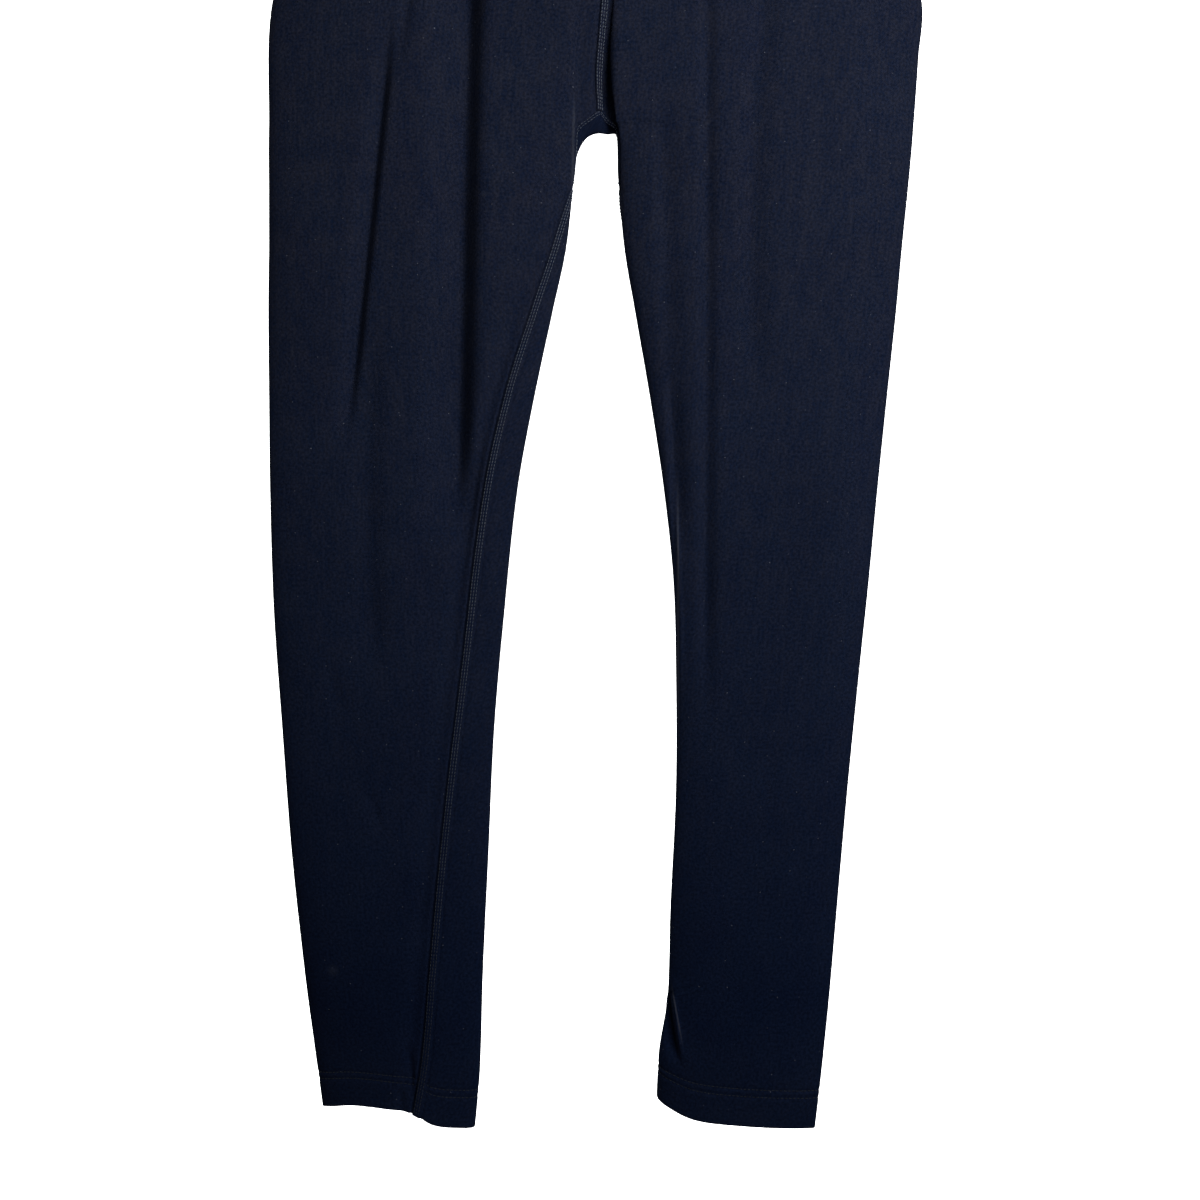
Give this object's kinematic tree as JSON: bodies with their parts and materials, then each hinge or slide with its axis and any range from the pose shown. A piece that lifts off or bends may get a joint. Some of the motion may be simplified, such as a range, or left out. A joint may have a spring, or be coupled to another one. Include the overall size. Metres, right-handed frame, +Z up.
{
  "type": "leggings",
  "caption": "Full-length jersey leggings hanging by the waistband, with a gusset, flatlocked inseams and rise seams, turned-up hems, and an open waist and cuffs",
  "frame": {"origin": "middle of the waistband's top edge, where the garment is held", "axes": "+Z up, -Y out of the front, +X to the wearer's left"},
  "size_m": [0.4804, 0.0407, 0.99],
  "materials": {
    "jersey": "matte blue-black stretch jersey with a faint mottle",
    "thread": "matte grey-blue textured thread, a little paler than the cloth"
  },
  "bodies": {
    "root": {"waistband": "jersey", "right_leg": "jersey", "left_leg": "jersey", "gusset": "jersey", "right_hem": "jersey", "left_hem": "jersey", "right_inseam": "thread", "left_inseam": "thread", "front_rise_seam": "thread", "back_rise_seam": "thread"}
  },
  "joints": []
}
